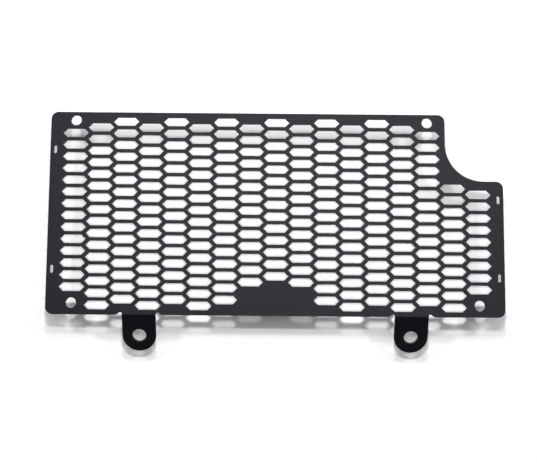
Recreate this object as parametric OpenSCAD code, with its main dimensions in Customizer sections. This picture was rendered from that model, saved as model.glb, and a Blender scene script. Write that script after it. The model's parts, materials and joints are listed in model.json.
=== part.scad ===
/* [Sheet] */
// Thickness of the sheet
sheet_t = 2; // [1:0.1:3]
// Width of the plate, left to right
plate_w = 279; // [240:1:360]
// Height of the plate, without the tabs
plate_h = 125; // [100:1:180]
// Radius of the plate's outer corners
corner_r = 4.5; // [1:0.5:5]

/* [Corner cut-out] */
// Width of the cut-out at the upper right corner
notch_w = 35.5; // [30:0.5:50]
// Height of the cut-out, down from the top edge
notch_h = 41.5; // [34:0.5:50]
// Radius of the cut-out's inside corner
notch_r = 23.3; // [6:0.1:24]

/* [Grille] */
// Distance between neighbouring columns of holes
col_pitch = 15.5; // [15:0.1:20]
// Distance between the holes of one column
row_pitch = 7.32; // [7:0.02:9]
// Length of a hole from tip to tip
hex_len = 15.8; // [12:0.1:16]
// Height of a hole; its pointed ends slope at 45 degrees
hex_h = 5.3; // [4:0.1:5.6]
// Least metal between a hole and the cut-out, the blank panel or a bolt hole
land = 1.5; // [1:0.1:2]
// Least metal between a hole and the plate's outer edge
rim = 2; // [1.5:0.1:6]

/* [Blank panel] */
// Width of the panel without holes at the middle of the lower edge
panel_w = 45; // [35:1:60]
// Height of that panel, up from the lower edge
panel_h = 17; // [12:0.5:30]

/* [Corner bolt holes] */
// Diameter of the four bolt holes
bolt_d = 6.4; // [5:0.1:7]
// Centres of the two upper holes below the top edge
upper_inset = 5.2; // [5:0.1:8]
// Centres of the two lower holes above the lower edge
lower_inset = 7.1; // [5:0.1:9]

/* [Tie slots] */
// Width of a slot for a cable tie
slot_w = 2; // [1.5:0.1:2.5]
// Length of a slot from end to end
slot_len = 5; // [4:0.1:8]
// Centre of a slot from the side edge
slot_inset = 3.1; // [2.8:0.1:4.5]
// Left pair: height of its middle above the plate's centre
left_slot_y = 2; // [-10:0.5:10]
// Left pair: distance between its two slots
left_slot_gap = 74; // [40:0.5:80]
// Right pair: height of its middle above the plate's centre
right_slot_y = -14.5; // [-20:0.5:-10]
// Right pair: distance between its two slots
right_slot_gap = 48; // [30:0.5:54]

/* [Tabs] */
// Width of a tab; its end is a half circle of this width
tab_w = 20.5; // [16:0.5:24]
// Distance between the two tabs' centres
tab_gap = 165.5; // [120:0.5:170]
// Angle through which the tabs are folded to the rear
tab_angle = 26; // [10:1:90]
// Inside radius of the fold
bend_r = 2.5; // [1:0.1:4]
// Centre of a tab's hole beyond the end of the fold
tab_reach = 12.2; // [10:0.1:30]
// Diameter of a tab's hole
tab_hole_d = 8.4; // [5:0.1:10]

/* [Bend reliefs] */
// Radius of the round top of the relief beside a tab
relief_r = 1; // [0.6:0.1:1.2]
// Height of the relief above the plate's lower edge
relief_h = 1.6; // [1.4:0.1:2.4]
// Slope of the relief's outer side, from the plate's lower edge
relief_slope = 35; // [30:1:60]

/* [Hidden] */
$fn = 64;
eps = 0.5;
// Length over which a tab's flat root lies in the plate
overlap = 1;
// The reliefs' round tops reach this far into a tab's sides, and the tab fills that again
relief_bite = 0.02;
// A tab's faces lie this far below the fold's tangents, so that they meet it along one clear line
seam = 0.002;

// Half sizes of the plate, whose centre is at zero in every flat module
half_w = plate_w / 2;
half_h = plate_h / 2;
notch_x = half_w - notch_w;
notch_y = half_h - notch_h;

// The holes stand in columns either side of the plate's centre line
half_cols = floor((half_w - rim - hex_len / 2) / col_pitch);
half_row = row_pitch / 2;
steps = floor((plate_h - 2 * rim - hex_h) / half_row);
function col_x(i) = i * col_pitch;
function row_y(k) = (k - steps / 2) * half_row;

// The bolt holes stand over the first and last columns, and beside the cut-out
notch_col = floor((notch_x - land - hex_len / 2) / col_pitch);
upper_y = half_h - upper_inset;
lower_y = lower_inset - half_h;
bolts = [
    [col_x(-half_cols), upper_y],
    [col_x(notch_col), upper_y],
    [col_x(-half_cols), lower_y],
    [col_x(half_cols), lower_y]
];

// The fold starts at the middle of the reliefs' round tops
fold_y = -half_h + relief_h - relief_r;
relief_x = tab_w / 2 + relief_r - relief_bite;

// The part's origin is midway between the tab holes, on the tabs' rear faces
hole_y = fold_y - bend_r * sin(tab_angle) - tab_reach * cos(tab_angle);
hole_z = -bend_r * (1 - cos(tab_angle)) - tab_reach * sin(tab_angle);

// A rectangle with round corners, given by its opposite corners
module round_rect(low, high, r) {
    size = high - low;
    translate(low + [r, 0]) square([size.x - 2 * r, size.y]);
    translate(low + [0, r]) square([size.x, size.y - 2 * r]);
    for (x = [low.x + r, high.x - r], y = [low.y + r, high.y - r])
        translate([x, y]) circle(r);
}

// The plate's outline: full width below the cut-out, and the part left of it
module outline() {
    round_rect([-half_w, -half_h], [half_w, notch_y], corner_r);
    round_rect([-half_w, -half_h], [notch_x, half_h], corner_r);
    difference() {
        translate([notch_x - eps, notch_y - eps]) square(notch_r + eps);
        translate([notch_x + notch_r, notch_y + notch_r]) circle(notch_r);
    }
}

// One hole of the grille, a long hexagon with 45 degree ends
module long_hexagon() {
    tip = hex_len / 2;
    flat = (hex_len - hex_h) / 2;
    up = hex_h / 2;
    polygon([[-tip, 0], [-flat, -up], [flat, -up], [tip, 0], [flat, up], [-flat, up]]);
}

// A hole is left out where it would meet the cut-out, the blank panel or a bolt hole
function in_notch(x, y) =
    x + hex_len / 2 + land > notch_x && y + hex_h / 2 + land > notch_y;
function in_panel(x, y) =
    abs(x) - hex_len / 2 < panel_w / 2 && y - hex_h / 2 < panel_h - half_h;
function near_bolt(x, y) =
    len([for (b = bolts) if (abs(x - b.x) < hex_len / 2 + bolt_d / 2 + land
        && abs(y - b.y) < hex_h / 2 + bolt_d / 2 + land) 1]) > 0;
function open_at(x, y) = !in_notch(x, y) && !in_panel(x, y) && !near_bolt(x, y);

// Staggered columns: every second column stands half a row higher
module grille() {
    for (i = [-half_cols:half_cols], k = [0:steps])
        if ((i + k + half_cols) % 2 == 1 && open_at(col_x(i), row_y(k)))
            translate([col_x(i), row_y(k)]) long_hexagon();
}

module bolt_holes() {
    for (b = bolts) translate(b) circle(d = bolt_d);
}

// An upright slot with round ends
module tie_slot() {
    straight = slot_len - slot_w;
    square([slot_w, straight], center = true);
    for (s = [-1, 1]) translate([0, s * straight / 2]) circle(d = slot_w);
}

module slot_pair(x, y, gap) {
    for (s = [-1, 1]) translate([x, y + s * gap / 2]) tie_slot();
}

// A relief beside a tab: a round top, and a side that slopes away from it down to the edge
module relief() {
    reach = 4 * relief_h;
    circle(relief_r);
    rotate(-relief_slope) translate([0, -reach]) square([reach, reach + relief_r]);
}

// The window that frees a tab, with a relief at either side
module tab_window() {
    foot = -half_h - eps;
    translate([-relief_x, foot]) square([2 * relief_x, fold_y - foot]);
    translate([relief_x, fold_y]) relief();
    translate([-relief_x, fold_y]) mirror([1, 0]) relief();
}

// The flat plate with all that is cut through it
module plate() {
    linear_extrude(sheet_t) difference() {
        outline();
        grille();
        bolt_holes();
        slot_pair(slot_inset - half_w, left_slot_y, left_slot_gap);
        slot_pair(half_w - slot_inset, right_slot_y, right_slot_gap);
        for (s = [-1, 1]) translate([s * tab_gap / 2, 0]) tab_window();
    }
}

// All that lies within r of the fold's axis and of the two flats that leave it
module within(r) {
    circle(r);
    translate([-2 * overlap, 0]) square([2 * overlap, r]);
    rotate(-tab_angle) square([2 * (tab_reach + tab_w), r - seam]);
}

// Side view of the bent sheet: the axis at zero, the plate to the left, the tab to the right
module bend_section() {
    outer_r = bend_r + sheet_t;
    low = bend_r / 2;
    up = [sin(tab_angle), cos(tab_angle)];
    far = (tab_reach + tab_w) * [cos(tab_angle), -sin(tab_angle)];
    intersection() {
        difference() {
            within(outer_r);
            within(bend_r);
        }
        polygon([
            [-overlap, low],
            [0, low],
            far + low * up,
            far + 2 * outer_r * up,
            2 * outer_r * up,
            [-overlap, 2 * outer_r]
        ]);
    }
}

// A tab: the bent sheet trimmed to straight sides and a round end, and drilled
module tab() {
    margin = bend_r + sheet_t + 2 * overlap;
    translate([0, fold_y, -bend_r]) difference() {
        intersection() {
            rotate([90, 0, -90]) linear_extrude(tab_w + 2 * overlap, center = true) bend_section();
            rotate([tab_angle, 0, 0]) translate([0, 0, -2 * overlap]) linear_extrude(2 * margin) {
                translate([-tab_w / 2, -tab_reach]) square([tab_w, tab_reach + margin]);
                translate([0, -tab_reach]) circle(d = tab_w);
            }
        }
        rotate([tab_angle, 0, 0]) translate([0, -tab_reach, 0])
            cylinder(h = margin, d = tab_hole_d);
    }
}

// The guard, one laser-cut and folded sheet
module guard() {
    color("#2b2d31") translate([0, -hole_y, -hole_z]) {
        plate();
        for (s = [-1, 1]) translate([s * tab_gap / 2, 0, 0]) tab();
    }
}

guard();
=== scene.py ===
"""Dresses the oil cooler guard: a perforated, folded and powder-coated sheet over white paper."""

import json
import math

import bpy
import mathutils
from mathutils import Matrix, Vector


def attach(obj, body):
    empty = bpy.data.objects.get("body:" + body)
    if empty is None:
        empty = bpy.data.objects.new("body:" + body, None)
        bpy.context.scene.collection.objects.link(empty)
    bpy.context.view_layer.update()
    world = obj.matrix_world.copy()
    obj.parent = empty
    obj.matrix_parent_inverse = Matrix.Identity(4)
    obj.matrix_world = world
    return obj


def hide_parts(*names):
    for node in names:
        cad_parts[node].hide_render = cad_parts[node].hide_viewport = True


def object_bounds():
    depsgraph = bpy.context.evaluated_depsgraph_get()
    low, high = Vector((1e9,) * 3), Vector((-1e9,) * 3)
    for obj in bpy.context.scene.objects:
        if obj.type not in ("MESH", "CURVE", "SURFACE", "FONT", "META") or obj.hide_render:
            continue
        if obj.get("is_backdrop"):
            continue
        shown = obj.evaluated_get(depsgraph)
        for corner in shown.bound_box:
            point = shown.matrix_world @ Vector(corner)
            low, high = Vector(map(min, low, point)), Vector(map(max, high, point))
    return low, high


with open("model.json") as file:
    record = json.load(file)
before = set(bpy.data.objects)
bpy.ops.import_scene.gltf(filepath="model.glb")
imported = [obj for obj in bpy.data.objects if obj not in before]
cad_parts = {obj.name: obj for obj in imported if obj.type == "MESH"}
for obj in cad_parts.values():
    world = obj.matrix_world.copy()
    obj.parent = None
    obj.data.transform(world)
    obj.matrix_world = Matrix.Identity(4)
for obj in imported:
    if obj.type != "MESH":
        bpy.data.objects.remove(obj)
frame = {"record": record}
cad_low, cad_high = [list(corner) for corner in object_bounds()]

bl_info = {
    "name": "Oil Cooler Guard",
    "version": (1, 0, 0),
    "blender": (4, 5, 0),
    "location": "View3D > Sidebar > Guard",
    "description": "Builds a folded, perforated oil cooler guard with its powder coat and a white cove",
    "category": "Object",
}

MM = 0.001
HALF_COLUMNS = 8
MOUNTS = {mount["name"]: mount for mount in frame["record"]["mounts"]}


def mount_size(name, key):
    """A size of a mount in the frame's record, in metres."""
    return MOUNTS[name]["dims"][key] * MM


def fold_angle():
    """The angle through which the tabs are folded, from the direction of their holes."""
    _, back, up = MOUNTS["tab_holes"]["axis"]
    return math.atan2(-back, up)


# Node trees: sockets as numbers, and one way to add any node


class Value:
    """A number socket of a node tree, so that sums can be written as Python expressions."""

    def __init__(self, graph, socket):
        self.graph = graph
        self.socket = socket

    def math(self, operation, *others):
        return self.graph.add("ShaderNodeMath", {"operation": operation}, [self, *others])

    def __add__(self, other):
        return self.math("ADD", other)

    def __radd__(self, other):
        return self.math("ADD", other)

    def __sub__(self, other):
        return self.math("SUBTRACT", other)

    def __rsub__(self, other):
        return self.graph.add("ShaderNodeMath", {"operation": "SUBTRACT"}, [other, self])

    def __mul__(self, other):
        return self.math("MULTIPLY", other)

    def __rmul__(self, other):
        return self.math("MULTIPLY", other)

    def __truediv__(self, other):
        return self.math("DIVIDE", other)

    def __gt__(self, other):
        return self.math("GREATER_THAN", other)

    def __lt__(self, other):
        return self.math("LESS_THAN", other)

    def __mod__(self, other):
        return self.math("MODULO", other)

    def __abs__(self):
        return self.math("ABSOLUTE")

    def __round__(self):
        return self.math("ROUND")

    def sine(self):
        return self.math("SINE")

    def cosine(self):
        return self.math("COSINE")

    def sign(self):
        return self.math("SIGN")

    def least(self, other):
        return self.math("MINIMUM", other)

    def most(self, other):
        return self.math("MAXIMUM", other)


class Graph:
    """A node tree and the one method that adds a node to it."""

    def __init__(self, tree):
        self.tree = tree
        self.tree.nodes.clear()

    def add(self, kind, settings=None, inputs=(), output=0):
        """Adds a node, applies its settings, then fills its inputs, listed or by name."""
        node = self.tree.nodes.new(kind)
        for name, value in (settings or {}).items():
            setattr(node, name, value)
        pairs = inputs.items() if isinstance(inputs, dict) else enumerate(inputs)
        for key, value in pairs:
            for one in value if isinstance(value, list) else [value]:
                self.fill(node.inputs[key], one)
        if not node.outputs:
            return node
        return Value(self, node.outputs[output])

    def fill(self, socket, value):
        if isinstance(value, Value):
            self.tree.links.new(value.socket, socket)
        elif value is not None:
            socket.default_value = value

    def other(self, value, output):
        """Another output of the node that a value came from."""
        return Value(self, value.socket.node.outputs[output])

    def split(self, vector):
        """The three parts of a vector."""
        x = self.add("ShaderNodeSeparateXYZ", inputs=[vector])
        return x, self.other(x, 1), self.other(x, 2)

    def join(self, x, y, z):
        """A vector of three parts."""
        return self.add("ShaderNodeCombineXYZ", inputs=[x, y, z])


# What a user may change


class GuardSheet(bpy.types.PropertyGroup):
    """Sizes of the folded sheet."""

    thickness: bpy.props.FloatProperty(
        name="Thickness", description="Thickness of the sheet",
        default=2 * MM, unit="LENGTH", precision=4)
    plate_width: bpy.props.FloatProperty(
        name="Plate width", description="Width of the plate",
        default=cad_high[0] - cad_low[0], unit="LENGTH", precision=4)
    plate_height: bpy.props.FloatProperty(
        name="Plate height", description="Height of the plate without its tabs",
        default=125 * MM, unit="LENGTH", precision=4)
    corner_radius: bpy.props.FloatProperty(
        name="Corner radius", description="Radius of the outer corners",
        default=4.5 * MM, unit="LENGTH", precision=4)
    notch_width: bpy.props.FloatProperty(
        name="Cut-out width", description="Width of the cut-out at the upper right corner",
        default=35.5 * MM, unit="LENGTH", precision=4)
    notch_height: bpy.props.FloatProperty(
        name="Cut-out height", description="Height of the cut-out",
        default=41.5 * MM, unit="LENGTH", precision=4)
    notch_radius: bpy.props.FloatProperty(
        name="Cut-out radius", description="Radius of the cut-out's inside corner",
        default=23.3 * MM, unit="LENGTH", precision=4)
    edge_round: bpy.props.FloatProperty(
        name="Edge rounding", description="Rounding that the powder gives the cut edges",
        default=0.12 * MM, unit="LENGTH", precision=5)


class GuardGrille(bpy.types.PropertyGroup):
    """Sizes of the grille and of the panel that it leaves blank."""

    columns: bpy.props.IntProperty(
        name="Columns", description="Columns of holes either side of the middle one",
        default=HALF_COLUMNS)
    column_pitch: bpy.props.FloatProperty(
        name="Column pitch", description="Distance between neighbouring columns",
        default=mount_size("lower_bolt_holes", "spacing_x_mm") / (2 * HALF_COLUMNS),
        unit="LENGTH", precision=4)
    row_pitch: bpy.props.FloatProperty(
        name="Row pitch", description="Distance between the holes of one column",
        default=7.32 * MM, unit="LENGTH", precision=5)
    hole_length: bpy.props.FloatProperty(
        name="Hole length", description="Length of a hole from tip to tip",
        default=15.8 * MM, unit="LENGTH", precision=4)
    hole_height: bpy.props.FloatProperty(
        name="Hole height", description="Height of a hole between its flats",
        default=5.3 * MM, unit="LENGTH", precision=4)
    rim: bpy.props.FloatProperty(
        name="Rim", description="Least metal between a hole and the plate's edge",
        default=2 * MM, unit="LENGTH", precision=4)
    land: bpy.props.FloatProperty(
        name="Land", description="Least metal between a hole and the cut-out or a bolt hole",
        default=1.5 * MM, unit="LENGTH", precision=4)
    panel_width: bpy.props.FloatProperty(
        name="Panel width", description="Width of the blank panel at the lower edge",
        default=45 * MM, unit="LENGTH", precision=4)
    panel_height: bpy.props.FloatProperty(
        name="Panel height", description="Height of the blank panel",
        default=17 * MM, unit="LENGTH", precision=4)


class GuardTabs(bpy.types.PropertyGroup):
    """Sizes of the two folded tabs and the reliefs beside them."""

    width: bpy.props.FloatProperty(
        name="Width", description="Width of a tab and of its half round end",
        default=20.5 * MM, unit="LENGTH", precision=4)
    spacing: bpy.props.FloatProperty(
        name="Spacing", description="Distance between the two tabs' centres",
        default=mount_size("tab_holes", "pcd_mm"), unit="LENGTH", precision=4)
    fold: bpy.props.FloatProperty(
        name="Fold", description="Angle through which the tabs are folded to the rear",
        default=fold_angle(), subtype="ANGLE")
    fold_radius: bpy.props.FloatProperty(
        name="Fold radius", description="Inside radius of the fold",
        default=2.5 * MM, unit="LENGTH", precision=4)
    relief_radius: bpy.props.FloatProperty(
        name="Relief radius", description="Radius of the round top of a bend relief",
        default=1 * MM, unit="LENGTH", precision=4)
    relief_height: bpy.props.FloatProperty(
        name="Relief height", description="Height of a relief above the plate's lower edge",
        default=1.6 * MM, unit="LENGTH", precision=4)
    relief_slope: bpy.props.FloatProperty(
        name="Relief slope", description="Slope of a relief's outer side",
        default=math.radians(35), subtype="ANGLE")


class GuardCoat(bpy.types.PropertyGroup):
    """Look of the black powder coat."""

    colour: bpy.props.FloatVectorProperty(
        name="Colour", description="Colour of the powder coat",
        default=(0.0034, 0.0040, 0.0056), subtype="COLOR", size=3, min=0, max=1)
    roughness: bpy.props.FloatProperty(
        name="Roughness", description="Mean roughness of the coat", default=0.34, min=0, max=1)
    peel_size: bpy.props.FloatProperty(
        name="Orange peel size", description="Width of the coat's ripples",
        default=1.1 * MM, unit="LENGTH", precision=5)
    grain_size: bpy.props.FloatProperty(
        name="Grain size", description="Width of the fine grain in the coat",
        default=0.22 * MM, unit="LENGTH", precision=5)
    ripple_depth: bpy.props.FloatProperty(
        name="Ripple depth", description="Depth of the ripples and the grain",
        default=0.02 * MM, unit="LENGTH", precision=6)
    drift_size: bpy.props.FloatProperty(
        name="Drift size", description="Width of the slow changes in shade and gloss",
        default=45 * MM, unit="LENGTH", precision=4)
    shade_drift: bpy.props.FloatProperty(
        name="Shade drift", description="Share by which the colour gets lighter and darker",
        default=0.15, min=0, max=1)


class GuardStage(bpy.types.PropertyGroup):
    """Camera, lamps and white paper."""

    lens: bpy.props.FloatProperty(
        name="Lens", description="Focal length on a 36 mm wide sensor", default=63.7, unit="CAMERA")
    camera_place: bpy.props.FloatVectorProperty(
        name="Camera", description="Place of the camera",
        default=(-5.49 * MM, -3.37 * MM, 584.5 * MM), subtype="TRANSLATION", size=3)
    camera_turn: bpy.props.FloatVectorProperty(
        name="Camera turn", description="Turn of the camera from looking straight down",
        default=tuple(math.radians(turn) for turn in (6.551, -0.149, 0.477)),
        subtype="EULER", size=3)
    key: bpy.props.FloatProperty(
        name="Key lamps", description="Brightness of white paper under all the key lamps",
        default=0.95)
    overhead: bpy.props.FloatProperty(
        name="Overhead lamp", description="Power of the wide lamp overhead", default=4.6, unit="POWER")
    overhead_colour: bpy.props.FloatVectorProperty(
        name="Overhead colour", description="Colour of the wide lamp overhead",
        default=(0.95, 0.98, 1.05), subtype="COLOR", size=3)
    overhead_place: bpy.props.FloatVectorProperty(
        name="Overhead place", description="Place of the wide lamp overhead",
        default=(0.04, 0.38, 1.1), subtype="TRANSLATION", size=3)
    overhead_size: bpy.props.FloatVectorProperty(
        name="Overhead size", description="Width and depth of the wide lamp overhead",
        default=(1.05, 0.85), unit="LENGTH", size=2)
    fill: bpy.props.FloatProperty(
        name="Fill", description="Even light from all round", default=0.035)
    paper: bpy.props.FloatProperty(
        name="Paper", description="Share of the light that the paper gives back",
        default=0.97, min=0, max=1)
    glow: bpy.props.FloatProperty(
        name="Glow", description="White added to the paper round the guard as it is seen", default=0.12)
    gap: bpy.props.FloatProperty(
        name="Gap", description="Space between the tabs' tips and the paper",
        default=10 * MM, unit="LENGTH", precision=4)


# Outlines of the flat sheet, as lists of points

# Steps that their arcs are made of
CORNER_STEPS = 12
NOTCH_STEPS = 32
RELIEF_STEPS = 8
SLOT_END_STEPS = 10
TAB_END_STEPS = 36
BOLT_HOLE_STEPS = 40
TAB_HOLE_STEPS = 48


def arc(centre, radius, start, end, steps):
    """Points on an arc between two angles in degrees, both ends included."""
    angles = [math.radians(start + (end - start) * step / steps) for step in range(steps + 1)]
    return [(centre[0] + radius * math.cos(a), centre[1] + radius * math.sin(a)) for a in angles]


def circle(centre, radius, steps):
    return arc(centre, radius, 0, 360, steps)[:-1]


def relief(side, edge, fold_line, foot, tabs):
    """The relief beside a tab, from the plate's lower edge to the tab's root; side is 1 or -1."""
    middle = (edge + side * tabs.relief_radius, fold_line)
    slope = math.degrees(tabs.relief_slope)
    start, end = (90 - slope, 180) if side > 0 else (90 + slope, 0)
    over = arc(middle, tabs.relief_radius, start, end, RELIEF_STEPS)
    run = (over[0][1] - foot) / math.tan(tabs.relief_slope)
    return [(over[0][0] + side * run, foot), *over]


def plate_outline(sheet, tabs):
    """The plate's outline, with the window round each tab, anticlockwise about its centre."""
    half_w, half_h = sheet.plate_width / 2, sheet.plate_height / 2
    r, big = sheet.corner_radius, sheet.notch_radius
    notch_x, notch_y = half_w - sheet.notch_width, half_h - sheet.notch_height
    fold_line = -half_h + tabs.relief_height - tabs.relief_radius
    points = arc((-half_w + r, -half_h + r), r, 180, 270, CORNER_STEPS)
    for centre in (-tabs.spacing / 2, tabs.spacing / 2):
        left, right = centre - tabs.width / 2, centre + tabs.width / 2
        points += relief(-1, left, fold_line, -half_h, tabs)
        points += reversed(relief(1, right, fold_line, -half_h, tabs))
    points += arc((half_w - r, -half_h + r), r, 270, 360, CORNER_STEPS)
    points += arc((half_w - r, notch_y - r), r, 0, 90, CORNER_STEPS)
    points += arc((notch_x + big, notch_y + big), big, 270, 180, NOTCH_STEPS)
    points += arc((notch_x - r, half_h - r), r, 0, 90, CORNER_STEPS)
    points += arc((-half_w + r, half_h - r), r, 90, 180, CORNER_STEPS)
    return points


def slot_outline(centre, length, width):
    """An upright slot with round ends."""
    reach = (length - width) / 2
    top = arc((centre[0], centre[1] + reach), width / 2, 0, 180, SLOT_END_STEPS)
    return top + arc((centre[0], centre[1] - reach), width / 2, 180, 360, SLOT_END_STEPS)


def tab_outline(centre, root, reach, width):
    """The flat of a tab beyond its fold, with a half round end."""
    end = arc((centre, root - reach), width / 2, 180, 360, TAB_END_STEPS)
    return [(centre + width / 2, root), (centre - width / 2, root), *end]


# The sheet


class Blank:
    """Places on the flat sheet, about the plate's centre, and where that lies in the frame."""

    def __init__(self, sheet, tabs):
        rear = MOUNTS["back_face"]["pos_m"][2]
        self.centre = (0, cad_high[1] - sheet.plate_height / 2, rear)
        self.fold_line = -sheet.plate_height / 2 + tabs.relief_height - tabs.relief_radius
        # The tab holes' rear ends lie at zero height, so the drop gives how far past the fold they are
        drop = rear - tabs.fold_radius * (1 - math.cos(tabs.fold))
        self.reach = drop / math.sin(tabs.fold)
        self.fold_length = tabs.fold * (tabs.fold_radius + sheet.thickness / 2)
        self.root = self.fold_line - self.fold_length
        self.bolts = self.holes_of("lower_bolt_holes") + self.holes_of("upper_bolt_holes")
        self.slots = self.holes_of("left_tie_slots") + self.holes_of("right_tie_slots")

    def holes_of(self, name):
        """Centres of a mount's two holes."""
        place, dims = MOUNTS[name]["pos_m"], MOUNTS[name]["dims"]
        x, y = place[0] - self.centre[0], place[1] - self.centre[1]
        across, up = (dims.get(key, 0) * MM / 2 for key in ("spacing_x_mm", "spacing_y_mm"))
        return [(x - across, y - up), (x + across, y + up)]


def loops_mesh(name, loops):
    """A mesh of closed loops of edges in the XY plane."""
    points, edges = [], []
    for loop in loops:
        first = len(points)
        count = len(loop)
        points += [(x, y, 0) for x, y in loop]
        edges += [(first + i, first + (i + 1) % count) for i in range(count)]
    mesh = bpy.data.meshes.new(name)
    mesh.from_pydata(points, edges, [])
    return mesh


def blank_loops(sheet, tabs, blank):
    """All outlines of the blank that aren't part of the grille."""
    bolt_r = mount_size("lower_bolt_holes", "hole_r_mm")
    slot_width = 2 * mount_size("left_tie_slots", "hole_r_mm")
    slot_length = mount_size("left_tie_slots", "slot_length_mm")
    loops = [plate_outline(sheet, tabs)]
    loops += [circle(place, bolt_r, BOLT_HOLE_STEPS) for place in blank.bolts]
    loops += [slot_outline(place, slot_length, slot_width) for place in blank.slots]
    hole_r = mount_size("tab_holes", "hole_r_mm")
    for centre in (-tabs.spacing / 2, tabs.spacing / 2):
        loops.append(tab_outline(centre, blank.root, blank.reach, tabs.width))
        loops.append(circle((centre, blank.root - blank.reach), hole_r, TAB_HOLE_STEPS))
    return loops


def sheet_sizes(sheet, grille, tabs, blank):
    """The sizes that the tree of nodes takes, each under its input's name."""
    half_w, half_h = sheet.plate_width / 2, sheet.plate_height / 2
    return {
        "Thickness": sheet.thickness,
        "Column pitch": grille.column_pitch,
        "Row pitch": grille.row_pitch,
        "Hole length": grille.hole_length,
        "Hole height": grille.hole_height,
        "Land": grille.land,
        "Cut-out left": half_w - sheet.notch_width,
        "Cut-out foot": half_h - sheet.notch_height,
        "Panel width": grille.panel_width,
        "Panel top": grille.panel_height - half_h,
        "Bolt diameter": 2 * mount_size("lower_bolt_holes", "hole_r_mm"),
        "Tab width": tabs.width,
        "Tab spacing": tabs.spacing,
        "Fold line": blank.fold_line,
        "Fold length": blank.fold_length,
        "Fold angle": tabs.fold,
        "Fold radius": tabs.fold_radius,
    }


# The sheet's tree of nodes

# Steps in a fold
FOLD_STEPS = 16
# Points no further apart than this are joined
WELD = 0.002 * MM
# How far outside a tab's sides a point still folds with it
TAB_MARGIN = 0.01 * MM
# Edges that turn by more than this are rims or corners
RIM_ANGLE = math.radians(30)


def point_place(graph):
    """The x, y and z of each point."""
    return graph.split(graph.add("GeometryNodeInputPosition"))


def moved(graph, geometry, chosen, place):
    """A geometry whose chosen points are moved, or all of them where chosen is None."""
    return graph.add("GeometryNodeSetPosition", inputs={
        "Geometry": geometry, "Selection": chosen, "Position": place})


def joined(graph, parts):
    return graph.add("GeometryNodeJoinGeometry", inputs=[parts])


def welded(graph, geometry):
    return graph.add("GeometryNodeMergeByDistance", inputs={"Geometry": geometry, "Distance": WELD})


def as_curve(graph, mesh):
    return graph.add("GeometryNodeMeshToCurve", inputs=[mesh])


def long_hexagon(graph, size):
    """One hole's outline: a ring of six points, drawn out so that its ends slope at 45 degrees."""
    ring = graph.add("GeometryNodeMeshCircle", inputs={"Vertices": 6, "Radius": 1.0})
    x, y, _ = point_place(graph)
    up = size["Hole height"] / 2
    flat = (size["Hole length"] - size["Hole height"]) / 2
    # On the ring, the two tips lie 1 from the middle line and the other points 0.5
    is_tip = abs(x) > 0.75
    place = graph.join(x.sign() * (flat + is_tip * up), (1 - is_tip) * y.sign() * up, 0.0)
    return as_curve(graph, moved(graph, ring, None, place))


def taken(size, bolts, x, y):
    """Is 1 where a hole at x and y would meet the cut-out, the blank panel or a bolt hole."""
    reach_x = size["Hole length"] / 2
    reach_y = size["Hole height"] / 2
    in_notch = (x + reach_x + size["Land"] > size["Cut-out left"]) * (
        y + reach_y + size["Land"] > size["Cut-out foot"])
    in_panel = (abs(x) - reach_x < size["Panel width"] / 2) * (y - reach_y < size["Panel top"])
    blocked = in_notch.most(in_panel)
    clear = size["Bolt diameter"] / 2 + size["Land"]
    for bolt_x, bolt_y in bolts:
        near = (abs(x - bolt_x) < reach_x + clear) * (abs(y - bolt_y) < reach_y + clear)
        blocked = blocked.most(near)
    return blocked


def punched_holes(graph, size, bolts, columns, steps):
    """The grille's outlines: staggered columns, where every second one stands half a row higher."""
    half_row = size["Row pitch"] / 2
    grid = graph.add("GeometryNodeMeshGrid", inputs={
        "Size X": size["Column pitch"] * (2 * columns), "Size Y": half_row * steps,
        "Vertices X": 2 * columns + 1, "Vertices Y": steps + 1})
    x, y, _ = point_place(graph)
    step = round(x / size["Column pitch"] + columns) + round(y / half_row + steps / 2)
    staggered = (step % 2.0) > 0.5
    return graph.add("GeometryNodeInstanceOnPoints", inputs={
        "Points": grid, "Selection": staggered * (1 - taken(size, bolts, x, y)),
        "Instance": long_hexagon(graph, size)})


def flat_sheet(graph, size, outlines, holes):
    """All outlines filled, with a strip for each fold between the plate and its tab."""
    curves = joined(graph, [holes, as_curve(graph, outlines)])
    curves = graph.add("GeometryNodeRealizeInstances", inputs=[curves])
    filled = graph.add("GeometryNodeFillCurve", {"mode": "TRIANGLES"}, [curves])
    strip = graph.add("GeometryNodeMeshGrid", inputs={
        "Size X": size["Tab width"], "Size Y": size["Fold length"],
        "Vertices X": 2, "Vertices Y": FOLD_STEPS + 1})
    strips = []
    for side in (-0.5, 0.5):
        place = graph.join(size["Tab spacing"] * side,
                           size["Fold line"] - size["Fold length"] / 2, 0.0)
        strips.append(graph.add("GeometryNodeTransform", inputs={
            "Geometry": strip, "Translation": place}))
    return welded(graph, joined(graph, [filled, *strips]))


def thick_sheet(graph, size, flat):
    """The front is drawn out of the flat sheet, and a flipped copy closes the rear."""
    front = graph.add("GeometryNodeExtrudeMesh", {"mode": "FACES"}, {
        "Mesh": flat, "Offset": graph.join(0.0, 0.0, 1.0),
        "Offset Scale": size["Thickness"], "Individual": False})
    rear = graph.add("GeometryNodeFlipFaces", inputs=[flat])
    return welded(graph, joined(graph, [front, rear]))


def marked_edges(graph, size, solid):
    """Marks the rims, which the powder rounds, and the upright corners, which stay crisp."""
    angle = graph.add("GeometryNodeInputMeshEdgeAngle")
    ends = graph.add("GeometryNodeInputMeshEdgeVertices")
    low = graph.split(graph.other(ends, "Position 1"))[2]
    high = graph.split(graph.other(ends, "Position 2"))[2]
    upright = abs(low - high) > size["Thickness"] / 2
    sharp = angle > RIM_ANGLE
    marks = (
        ("bevel_weight_edge", "FLOAT", sharp * (1 - upright)),
        ("sharp_edge", "BOOLEAN", sharp * upright),
    )
    for name, kind, value in marks:
        solid = graph.add("GeometryNodeStoreNamedAttribute", {"data_type": kind, "domain": "EDGE"}, {
            "Geometry": solid, "Name": name, "Value": value})
    return solid


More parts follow.
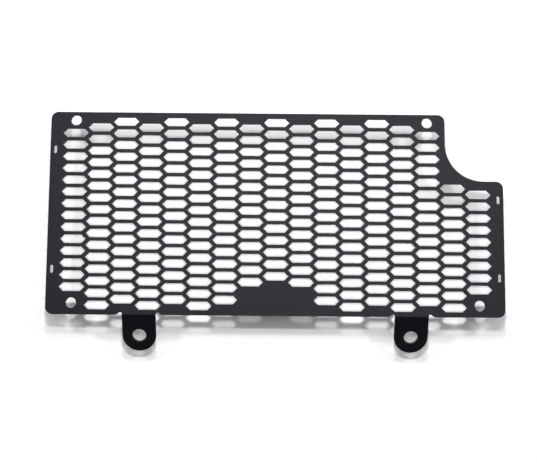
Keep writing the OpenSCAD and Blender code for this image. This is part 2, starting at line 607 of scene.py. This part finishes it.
def folded_tabs(graph, size, solid):
    """Folds the tabs to the rear, about an axis behind the plate."""
    x, y, z = point_place(graph)
    on_tab = abs(abs(x) - size["Tab spacing"] / 2) < size["Tab width"] / 2 + TAB_MARGIN
    past = size["Fold line"] - y
    turn = size["Fold angle"] * (past / size["Fold length"]).least(1.0)
    rest = (past - size["Fold length"]).most(0.0)
    radius = size["Fold radius"] + z
    place = graph.join(
        x,
        size["Fold line"] - radius * turn.sine() - rest * turn.cosine(),
        radius * turn.cosine() - size["Fold radius"] - rest * turn.sine())
    return moved(graph, solid, on_tab * (past > 0.0), place)


def sheet_tree(names, blank, columns, steps, material):
    """Geometry Nodes: punches the grille, thickens the blank and folds the tabs."""
    tree = bpy.data.node_groups.new("Folded grille sheet", "GeometryNodeTree")
    graph = Graph(tree)
    face = tree.interface
    face.new_socket("Geometry", in_out="INPUT", socket_type="NodeSocketGeometry")
    for name in names:
        face.new_socket(name, in_out="INPUT", socket_type="NodeSocketFloat")
    face.new_socket("Geometry", in_out="OUTPUT", socket_type="NodeSocketGeometry")
    outlines = graph.add("NodeGroupInput")
    size = {name: graph.other(outlines, name) for name in names}
    holes = punched_holes(graph, size, blank.bolts, columns, steps)
    flat = flat_sheet(graph, size, outlines, holes)
    solid = marked_edges(graph, size, thick_sheet(graph, size, flat))
    solid = folded_tabs(graph, size, solid)
    solid = graph.add("GeometryNodeTransform", inputs={
        "Geometry": solid, "Translation": blank.centre})
    solid = graph.add("GeometryNodeRealizeInstances", inputs=[solid])
    solid = graph.add("GeometryNodeSetMaterial", inputs={
        "Geometry": solid, "Material": material})
    graph.add("NodeGroupOutput", inputs=[solid])
    return tree


def set_input(modifier, name, value):
    """Sets a tree's named input through its identifier."""
    for item in modifier.node_group.interface.items_tree:
        if item.item_type == "SOCKET" and item.in_out == "INPUT" and item.name == name:
            modifier[item.identifier] = value
            return
    raise ValueError(f"the tree has no input named {name}")


def as_mesh(source, name):
    """A plain mesh object from an object's evaluated modifiers; the source is removed."""
    view = bpy.context.evaluated_depsgraph_get()
    mesh = bpy.data.meshes.new_from_object(source.evaluated_get(view))
    mesh.name = name
    result = bpy.data.objects.new(name, mesh)
    bpy.context.scene.collection.objects.link(result)
    old = source.data
    source.modifiers.clear()
    bpy.data.objects.remove(source)
    bpy.data.meshes.remove(old)
    return result


# The powder coat

# How much the fine grain and the slow drift change the roughness
GRAIN_GLOSS = 0.10
DRIFT_GLOSS = 0.06
# Strength of the bump, and the grain's height as a share of the ripples'
RIPPLE_STRENGTH = 0.35
GRAIN_SHARE = 0.35
# Index of refraction of the powder's clear binder
COAT_IOR = 1.45


def powder_coat(coat):
    """Black powder coat: a deep colour, soft gloss, wide ripples and a fine grain."""
    material = bpy.data.materials.new("black powder coat")
    material.use_nodes = True
    graph = Graph(material.node_tree)
    place = graph.other(graph.add("ShaderNodeTexCoord"), "Object")

    def noise(size, detail=2.0):
        return graph.add("ShaderNodeTexNoise", inputs={
            "Vector": place, "Scale": 1 / size, "Detail": detail, "Roughness": 0.5})

    peel = noise(coat.peel_size)
    grain = noise(coat.grain_size, 1.0)
    drift = noise(coat.drift_size)
    darker = [(1 - coat.shade_drift) * part for part in coat.colour]
    lighter = [(1 + coat.shade_drift) * part for part in coat.colour]
    shade = graph.add("ShaderNodeMix", {"data_type": "RGBA"}, {
        "Factor": drift, "A": (*darker, 1), "B": (*lighter, 1)}, output=2)
    rough = coat.roughness + (grain - 0.5) * GRAIN_GLOSS + (drift - 0.5) * DRIFT_GLOSS
    ripples = graph.add("ShaderNodeBump", inputs={
        "Strength": RIPPLE_STRENGTH, "Distance": coat.ripple_depth,
        "Height": peel + grain * GRAIN_SHARE})
    shader = graph.add("ShaderNodeBsdfPrincipled", inputs={
        "Base Color": shade, "Roughness": rough, "Normal": ripples, "IOR": COAT_IOR})
    graph.add("ShaderNodeOutputMaterial", inputs={"Surface": shader})
    return material


class GuardSheetBuild(bpy.types.Operator):
    """Cuts, punches and folds the guard's sheet and coats it"""

    bl_idname = "object.guard_sheet_build"
    bl_label = "Build the guard's sheet"

    def execute(self, context):
        scene = context.scene
        sheet, grille, tabs = scene.guard_sheet, scene.guard_grille, scene.guard_tabs
        blank = Blank(sheet, tabs)
        coat = powder_coat(scene.guard_coat)
        mesh = loops_mesh("guard blank", blank_loops(sheet, tabs, blank))
        source = bpy.data.objects.new("guard blank", mesh)
        scene.collection.objects.link(source)
        free_height = sheet.plate_height - 2 * grille.rim - grille.hole_height
        steps = math.floor(2 * free_height / grille.row_pitch)
        sizes = sheet_sizes(sheet, grille, tabs, blank)
        modifier = source.modifiers.new("sheet", "NODES")
        modifier.node_group = sheet_tree(list(sizes), blank, grille.columns, steps, coat)
        for name, value in sizes.items():
            set_input(modifier, name, value)
        piece = as_mesh(source, "guard_sheet")
        piece.data.shade_smooth()
        edge = piece.modifiers.new("powder on the edges", "BEVEL")
        edge.limit_method = "WEIGHT"
        edge.width = sheet.edge_round
        edge.segments = 3
        edge.harden_normals = True
        edge.use_clamp_overlap = False
        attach(piece, "root")
        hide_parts("guard")
        return {"FINISHED"}


# The stage

# Radius of the cove's flat floor, and of its rim
COVE_FLAT = 1.6
COVE_RADIUS = 2.5
# Steps round the cove, and up its bend
COVE_SIDES = 96
COVE_RINGS = 16
# Distances from the guard between which the paper turns into plain white
SHADOW_REACH = (0.17, 0.40)
# Power at which a lamp without falloff lights white paper that faces it to full white
POWER_FOR_WHITE = 4 * math.pi ** 2
# Each key lamp's shadow: columns across, rows down, its share of the light and the lamp's radius
KEY_LAMPS = (
    (0, 1, 0.35, 0.02),
    (0, 2, 0.2, 0.02),
    (-1, 1.5, 0.225, 0.035),
    (1, 1.5, 0.225, 0.035),
)


def seen_white(graph):
    """A value that is 1 for rays from the camera and for mirrored or refracted rays, else 0."""
    ray = graph.add("ShaderNodeLightPath")
    seen = graph.other(ray, "Is Camera Ray").most(graph.other(ray, "Is Glossy Ray"))
    return seen.most(graph.other(ray, "Is Transmission Ray"))


def white_cove(stage, middle):
    """White paper: it takes the guard's shadow, and shows plain white away from the guard."""
    material = bpy.data.materials.new("white cove")
    material.use_nodes = True
    graph = Graph(material.node_tree)
    place = graph.other(graph.add("ShaderNodeTexCoord"), "Object")
    away = graph.add("ShaderNodeVectorMath", {"operation": "DISTANCE"}, [place, middle], output=1)
    far = graph.add("ShaderNodeMapRange", {"interpolation_type": "SMOOTHSTEP"}, {
        "Value": away, "From Min": SHADOW_REACH[0], "From Max": SHADOW_REACH[1]})
    seen = seen_white(graph)
    white = (stage.paper, stage.paper, stage.paper, 1)
    paper = graph.add("ShaderNodeBsdfDiffuse", inputs={"Color": white})
    lift = graph.add("ShaderNodeEmission", inputs={"Strength": seen * stage.glow})
    near = graph.add("ShaderNodeAddShader", inputs=[paper, lift])
    plain = graph.add("ShaderNodeEmission", inputs={"Strength": seen})
    both = graph.add("ShaderNodeMixShader", inputs=[far, near, plain])
    graph.add("ShaderNodeOutputMaterial", inputs={"Surface": both})
    return material


def cove_mesh(height):
    """A round floor that curves up at its rim."""
    bend = COVE_RADIUS - COVE_FLAT
    profile = arc((COVE_FLAT, bend), bend, 270, 360, COVE_RINGS)
    points, faces = [(0, 0, height)], []
    for radius, up in profile:
        points += [(x, y, height + up) for x, y in circle((0, 0), radius, COVE_SIDES)]
    for side in range(COVE_SIDES):
        after = (side + 1) % COVE_SIDES
        faces.append((0, 1 + side, 1 + after))
        for ring in range(len(profile) - 1):
            low, high = 1 + ring * COVE_SIDES, 1 + (ring + 1) * COVE_SIDES
            faces.append((low + side, high + side, high + after, low + after))
    mesh = bpy.data.meshes.new("cove")
    mesh.from_pydata(points, [], faces)
    mesh.shade_smooth()
    return mesh


def dim_world(fill):
    """A low even fill from all round, so that nothing is quite black."""
    world = bpy.data.worlds.new("dim room")
    world.use_nodes = True
    graph = Graph(world.node_tree)
    light = graph.add("ShaderNodeBackground", inputs={"Strength": fill})
    graph.add("ShaderNodeOutputWorld", inputs={"Surface": light})
    return world


def overhead_lamp(stage, aim):
    """A wide soft lamp above the guard's upper edge, which gives the coat its sheen."""
    data = bpy.data.lights.new("overhead lamp", "AREA")
    data.shape = "RECTANGLE"
    data.size, data.size_y = stage.overhead_size
    data.energy = stage.overhead
    data.color = stage.overhead_colour
    lamp = bpy.data.objects.new("overhead lamp", data)
    bpy.context.scene.collection.objects.link(lamp)
    lamp.location = stage.overhead_place
    direction = mathutils.Vector(aim) - mathutils.Vector(stage.overhead_place)
    lamp.rotation_euler = direction.to_track_quat("-Z", "Y").to_euler()
    lamp.visible_camera = False


def key_lamp(name, place, radius, brightness):
    """A small round lamp, as strong far away as near; it doesn't show as a gloss on the coat."""
    data = bpy.data.lights.new(name, "POINT")
    data.shadow_soft_size = radius
    data.energy = brightness * POWER_FOR_WHITE
    data.use_nodes = True
    graph = Graph(data.node_tree)
    steady = graph.add("ShaderNodeLightFalloff", inputs={"Strength": 1.0}, output=2)
    light = graph.add("ShaderNodeEmission", inputs={"Strength": steady})
    graph.add("ShaderNodeOutputLight", inputs={"Surface": light})
    lamp = bpy.data.objects.new(name, data)
    bpy.context.scene.collection.objects.link(lamp)
    lamp.location = place
    lamp.visible_camera = False
    lamp.visible_glossy = False


def key_lamps(stage, grille, plate_middle, paper_height):
    """Key lamps level with the camera, so placed that each moves the grille's shadow by whole holes.

    The camera then sees lit paper through the holes, and the shadow below the lower edge.
    """
    x, y, z = stage.camera_place
    spread = (z - paper_height) / (plate_middle - paper_height)
    for number, (across, down, share, radius) in enumerate(KEY_LAMPS, 1):
        place = (x - across * grille.column_pitch * spread, y + down * grille.row_pitch * spread, z)
        key_lamp(f"key lamp {number}", place, radius, share * stage.key)


def photo_camera(stage):
    """A camera that sees the guard as the photograph does."""
    data = bpy.data.cameras.new("camera")
    data.sensor_fit = "HORIZONTAL"
    data.sensor_width = 36
    data.lens = stage.lens
    data.clip_start, data.clip_end = 0.01, 20
    camera = bpy.data.objects.new("camera", data)
    bpy.context.scene.collection.objects.link(camera)
    camera.location = stage.camera_place
    camera.rotation_euler = stage.camera_turn
    return camera


class GuardStageBuild(bpy.types.Operator):
    """Sets up the white cove, the lamps and the camera"""

    bl_idname = "object.guard_stage_build"
    bl_label = "Build the stage"

    def execute(self, context):
        scene = context.scene
        stage = scene.guard_stage
        middle = tuple((low + high) / 2 for low, high in zip(cad_low, cad_high))
        paper_height = cad_low[2] - stage.gap
        cove = bpy.data.objects.new("cove", cove_mesh(paper_height))
        cove.data.materials.append(white_cove(stage, middle))
        scene.collection.objects.link(cove)
        cove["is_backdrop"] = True
        scene.world = dim_world(stage.fill)
        plate_middle = MOUNTS["back_face"]["pos_m"][2] + scene.guard_sheet.thickness / 2
        key_lamps(stage, scene.guard_grille, plate_middle, paper_height)
        overhead_lamp(stage, middle)
        scene.camera = photo_camera(stage)
        scene.view_settings.view_transform = "Standard"
        return {"FINISHED"}


class GuardPanel(bpy.types.Panel):
    """Lists the guard's sizes and the steps that build it"""

    bl_idname = "VIEW3D_PT_guard"
    bl_label = "Oil cooler guard"
    bl_space_type = "VIEW_3D"
    bl_region_type = "UI"
    bl_category = "Guard"

    def draw(self, context):
        layout = self.layout
        for group, holder in GROUPS.items():
            box = layout.box()
            box.label(text=group.__doc__.rstrip("."))
            settings = getattr(context.scene, holder)
            for name in group.__annotations__:
                box.prop(settings, name)
        for operator in OPERATORS:
            layout.operator(operator.bl_idname)


GROUPS = {
    GuardSheet: "guard_sheet",
    GuardGrille: "guard_grille",
    GuardTabs: "guard_tabs",
    GuardCoat: "guard_coat",
    GuardStage: "guard_stage",
}
OPERATORS = (GuardSheetBuild, GuardStageBuild)


def register():
    for item in (*GROUPS, *OPERATORS, GuardPanel):
        bpy.utils.register_class(item)
    for group, name in GROUPS.items():
        setattr(bpy.types.Scene, name, bpy.props.PointerProperty(type=group))


def unregister():
    for name in GROUPS.values():
        delattr(bpy.types.Scene, name)
    for item in reversed((*GROUPS, *OPERATORS, GuardPanel)):
        bpy.utils.unregister_class(item)


def main():
    register()
    bpy.ops.object.guard_sheet_build()
    bpy.ops.object.guard_stage_build()
    visual = [list(corner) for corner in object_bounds()]
    {"cad": [cad_low, cad_high], "visual": visual}


if __name__ == "__main__":
    main()
